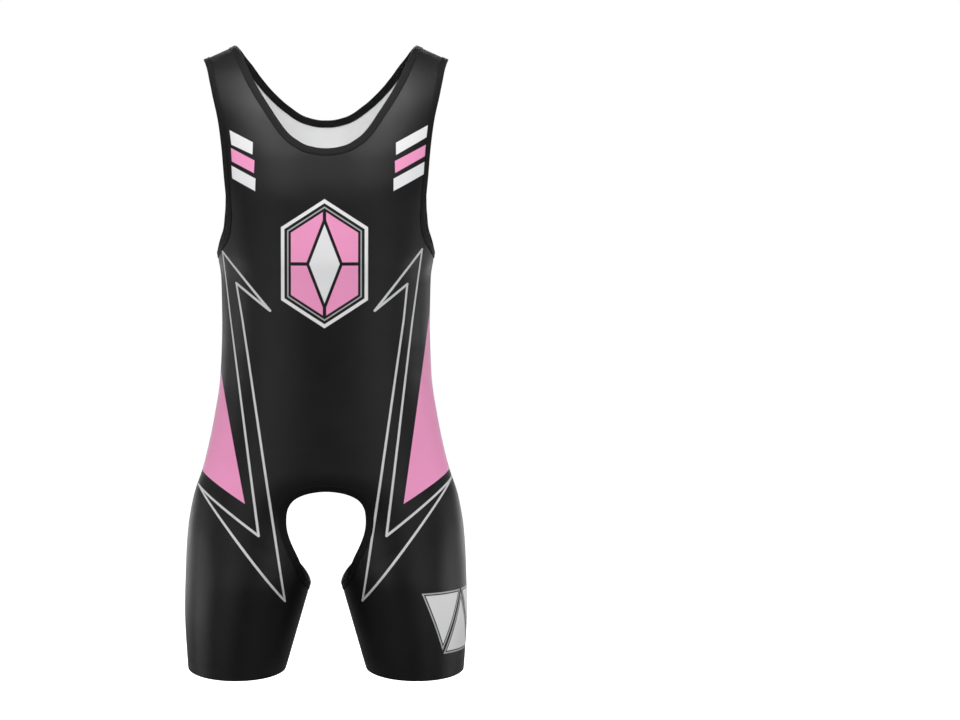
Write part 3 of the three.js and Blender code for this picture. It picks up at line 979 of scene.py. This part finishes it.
    def cloth_shader(self, colour, roughness, height, strength, shine):
        """The finished material, with the knit's height as fine relief."""
        relief = {"Strength": strength, "Distance": KNIT_RELIEF * MM, "Height": height}
        bump = self.add("ShaderNodeBump", relief)
        shader = self.add("ShaderNodeBsdfPrincipled", {"Normal": bump.outputs[0]})
        self.put(colour, shader.inputs["Base Color"])
        self.put(roughness, shader.inputs["Roughness"])
        for name, value in shine.items():
            shader.inputs[name].default_value = value
        output = self.add("ShaderNodeOutputMaterial")
        self.tree.links.new(shader.outputs[0], output.inputs["Surface"])
        return self.material


def front_print(finish):
    """White and pink shares of the front's print."""
    place = finish.place
    white = [finish.shape(place, corners) for corners in FRONT_WHITE_BARS]
    pink = [finish.shape(place, corners) for corners in FRONT_PINK_BARS + FRONT_PINK_WEDGES]
    white.append(finish.lines(place, FRONT_LINES))
    gem_white, gem_pink = medallion(finish)
    return finish.most([*white, gem_white]), finish.most([*pink, gem_pink])


def medallion(finish):
    """A plain faceted medallion for the chest: a long hexagon round a lozenge."""
    x, down = MEDALLION_CENTRE
    folded = finish.vector("ABSOLUTE", finish.vector("SUBTRACT", finish.place, (x, 0, down)))
    width, height, shoulder = MEDALLION_HALF_WIDTH, MEDALLION_HALF_HEIGHT, MEDALLION_SHOULDER
    outer = [(-width, -shoulder), (width, -shoulder), (width, shoulder), (0, height), (-width, shoulder)]
    depth = finish.inside_depth(folded, outer)
    across, _, up = finish.add("ShaderNodeSeparateXYZ", {0: folded}).outputs
    rim = finish.band(depth, MEDALLION_RIM / 2, MEDALLION_RIM)
    ring = finish.band(depth, MEDALLION_RING_AT, MEDALLION_RING)
    side, tip = MEDALLION_LOZENGE
    lozenge = finish.inside_depth(folded, [(-side, 0), (0, -tip), (side, 0), (0, tip)])
    stones = finish.math("SUBTRACT", -MEDALLION_LOZENGE_GAP, lozenge)
    for distance, start in (
        (depth, MEDALLION_STONES_AT),
        (across, MEDALLION_CROSS_HALF_GAP),
        (up, MEDALLION_CROSS_HALF_GAP),
    ):
        stones = finish.math("MINIMUM", stones, finish.math("SUBTRACT", distance, start))
    rims = [finish.inked(rim), finish.inked(ring, MEDALLION_RING_STRENGTH)]
    return finish.most([*rims, finish.inked(lozenge)]), finish.inked(stones)


def back_print(finish):
    """White and pink shares of the back's print, the same on both sides."""
    place = finish.vector("ABSOLUTE", finish.place)
    white = [finish.shape(place, corners) for corners in BACK_WHITE_BARS]
    pink = [finish.shape(place, corners) for corners in BACK_PINK_BARS]
    white.append(finish.lines(place, BACK_LINES))
    return finish.most(white), finish.most(pink)


def leg_row(finish):
    """White triangles in a row round the wearer's left thigh, each in a thin outline."""
    flat = finish.add("ShaderNodeUVMap", uv_map="cloth").outputs[0]
    across, down, _ = finish.add("ShaderNodeSeparateXYZ", {0: flat}).outputs
    u = finish.math("MULTIPLY_ADD", across, 1000, -LEG_ROW_FRONT)
    v = finish.math("MULTIPLY_ADD", down, -1000, -LEG_ROW_MIDDLE)
    half = LEG_ROW_HEIGHT / 2
    slant = math.hypot(LEG_ROW_PITCH, LEG_ROW_HEIGHT)
    rise = finish.math("PINGPONG", u, LEG_ROW_PITCH)
    zigzag = finish.math("MULTIPLY_ADD", rise, LEG_ROW_HEIGHT / LEG_ROW_PITCH, -half)
    off = finish.math("ABSOLUTE", finish.math("SUBTRACT", v, zigzag))
    depth = finish.math("MULTIPLY_ADD", off, LEG_ROW_PITCH / slant, -LEG_ROW_GAP / 2)
    inside = finish.math("SUBTRACT", half, finish.math("ABSOLUTE", v))
    depth = finish.math("MINIMUM", depth, inside)
    plane = finish.add("ShaderNodeCombineXYZ", {0: u, 2: v}).outputs[0]
    span = LEG_ROW_PITCH * LEG_ROW_TRIANGLES
    band = [(0, -half), (-LEG_ROW_PITCH, half), (-span, half), (-span - LEG_ROW_PITCH, -half)]
    depth = finish.math("MINIMUM", depth, finish.inside_depth(plane, band))
    x, _, _ = finish.add("ShaderNodeSeparateXYZ", {0: finish.place}).outputs
    on_left = finish.math("GREATER_THAN", x, 0.0)
    fill = finish.inked(finish.math("SUBTRACT", depth, LEG_ROW_FILL_AT))
    line = finish.band(depth, LEG_ROW_OUTLINE / 2, LEG_ROW_OUTLINE)
    outline = finish.inked(line, LEG_ROW_OUTLINE_STRENGTH)
    return finish.math("MULTIPLY", finish.most([fill, outline]), on_left)


def printed_cloth(name, own_print):
    """Black satin knit with its print, duller beside the shoulder seam."""
    finish = Finish(name)
    white, pink = own_print(finish)
    patchy = finish.patches(0.02)
    black = finish.mix(patchy, BLACK_DARK, BLACK_LIGHT)
    colour = finish.mix(white, black, WHITE_INK)
    colour = finish.mix(pink, colour, PINK_INK)
    # the leg row's white print, with painted light in its lighter ink for the thigh's dimmer side
    colour = finish.mix(leg_row(finish), colour, ROW_INK_WITH_PAINTED_LIGHT)
    _, y, down = finish.add("ShaderNodeSeparateXYZ", {0: finish.place}).outputs
    by_seam = finish.ramp(finish.math("ABSOLUTE", y), *DULL_BESIDE_SEAM)
    on_strap = finish.ramp(down, *DULL_BELOW_SHOULDER)
    dull = finish.math("MULTIPLY", by_seam, on_strap)
    satin = finish.ramp(patchy, 0.3, 0.7, *SATIN_ROUGHNESS)
    roughness = finish.math("MULTIPLY_ADD", dull, SEAM_DULLING, satin)
    return finish.cloth_shader(colour, roughness, finish.knit(), SATIN_KNIT_STRENGTH, SATIN_SHINE)


def plain_cloth(name, dark, light, roughness, shine):
    """Knit of one colour, for the reverse and the tapes."""
    finish = Finish(name)
    colour = finish.mix(finish.patches(0.05), dark, light)
    return finish.cloth_shader(colour, roughness, finish.knit(), PLAIN_KNIT_STRENGTH, shine)


def thread(name):
    """Fine twisted thread."""
    finish = Finish(name)
    waves = {"Vector": finish.place, "Scale": 0.9}
    twist = finish.add("ShaderNodeTexWave", waves, bands_direction="DIAGONAL").outputs["Fac"]
    colour = finish.mix(twist, BLACK_DARK, THREAD_LIGHT)
    return finish.cloth_shader(colour, THREAD_ROUGHNESS, twist, THREAD_TWIST_STRENGTH, THREAD_SHINE)


def area_light(name, place, aim, size, power):
    """A rectangular light at a place, turned to its aim."""
    data = bpy.data.lights.new(name, "AREA")
    data.shape = "RECTANGLE"
    data.size, data.size_y = size
    data.energy = power
    lamp = bpy.data.objects.new(name, data)
    lamp.location = place
    lamp.rotation_euler = (Vector(aim) - Vector(place)).to_track_quat("-Z", "Y").to_euler()
    bpy.context.scene.collection.objects.link(lamp)


def studio():
    """Pale floor, white surround and large soft lights, in front and behind."""
    scene = bpy.context.scene
    scene.view_settings.view_transform = "Standard"
    world = bpy.data.worlds.new("studio")
    world.use_nodes = True
    scene.world = world
    tree = world.node_tree
    tree.nodes.clear()
    seen = tree.nodes.new("ShaderNodeBackground")
    seen.inputs["Color"].default_value = SURROUND_SEEN
    felt = tree.nodes.new("ShaderNodeBackground")
    felt.inputs["Color"].default_value = SURROUND_FELT
    path = tree.nodes.new("ShaderNodeLightPath")
    either = tree.nodes.new("ShaderNodeMixShader")
    output = tree.nodes.new("ShaderNodeOutputWorld")
    tree.links.new(path.outputs["Is Camera Ray"], either.inputs[0])
    tree.links.new(felt.outputs[0], either.inputs[1])
    tree.links.new(seen.outputs[0], either.inputs[2])
    tree.links.new(either.outputs[0], output.inputs["Surface"])

    pale = bpy.data.materials.new("pale_floor")
    pale.use_nodes = True
    shader = pale.node_tree.nodes["Principled BSDF"]
    shader.inputs["Base Color"].default_value = FLOOR_GREY
    shader.inputs["Roughness"].default_value = 0.9
    shader.inputs["Specular IOR Level"].default_value = 0
    shader.inputs["Emission Color"].default_value = (1, 1, 1, 1)
    shader.inputs["Emission Strength"].default_value = FLOOR_GLOW
    bpy.ops.mesh.primitive_plane_add(size=FLOOR_SIZE, location=(0, 10, FLOOR_Z))
    floor = bpy.context.active_object
    floor.name = "floor"
    floor.data.materials.append(pale)
    floor.visible_glossy = False
    floor.visible_diffuse = False

    for light in LIGHTS:
        area_light(*light)


def photo_camera():
    """The photograph's view, level with the shoulders, from straight in front."""
    elevation = math.radians(CAMERA_ELEVATION)
    aim = Vector((0, 0, CAMERA_AIM_Z))
    back = Vector((0, -math.cos(elevation), math.sin(elevation)))
    data = bpy.data.cameras.new("camera")
    data.sensor_width = 36
    data.lens = CAMERA_LENS
    data.shift_x = CAMERA_SHIFT_X
    camera = bpy.data.objects.new("camera", data)
    camera.location = aim + back * CAMERA_DISTANCE
    camera.rotation_euler = (-back).to_track_quat("-Z", "Y").to_euler()
    bpy.context.scene.collection.objects.link(camera)
    bpy.context.scene.camera = camera


photo_camera()
studio()

inside_finish = plain_cloth(
    "white_reverse", REVERSE_DARK, REVERSE_LIGHT, REVERSE_ROUGHNESS, REVERSE_SHINE
)
tape_finish = plain_cloth("black_tape", TAPE_DARK, TAPE_LIGHT, TAPE_ROUGHNESS, TAPE_SHINE)
thread_finish = thread("black_thread")
front = make_panel("front", [printed_cloth("front_knit", front_print), inside_finish])
back = make_panel("back", [printed_cloth("back_knit", back_print), inside_finish])

tapes = [
    ("neck_tape", "neck_binding", "neck", NECK_RUNS, NECK_TAPE_WIDTH),
    ("armhole_tape_left", "armhole_binding_left", "armhole", armhole_runs(1), ARMHOLE_TAPE_WIDTH),
    ("armhole_tape_right", "armhole_binding_right", "armhole", armhole_runs(-1), ARMHOLE_TAPE_WIDTH),
    ("opening_tape", "opening_binding", "opening", OPENING_RUNS, OPENING_TAPE_WIDTH),
]
for name, node, edge, runs, width in tapes:
    make_tape(name, node, edge, runs, width, tape_finish)
    make_stitching(f"{name}_stitching", tape_rows(edge, runs, width), thread_finish)

for side, mirror in (("left", 1), ("right", -1)):
    hem = [hem_row(mirror, HEM_TURN - below) for below in HEM_STITCH_ROWS]
    make_stitching(f"hem_stitching_{side}", hem, thread_finish)
    seams = []
    for face in SIDE:
        seams.append(seam_row(face, mirror, 1.0, *SIDE_SEAM_STITCHED))
        seams.append(seam_row(face, mirror, 0.0, *LEG_SEAM_STITCHED))
    make_stitching(f"seam_stitching_{side}", seams, thread_finish)
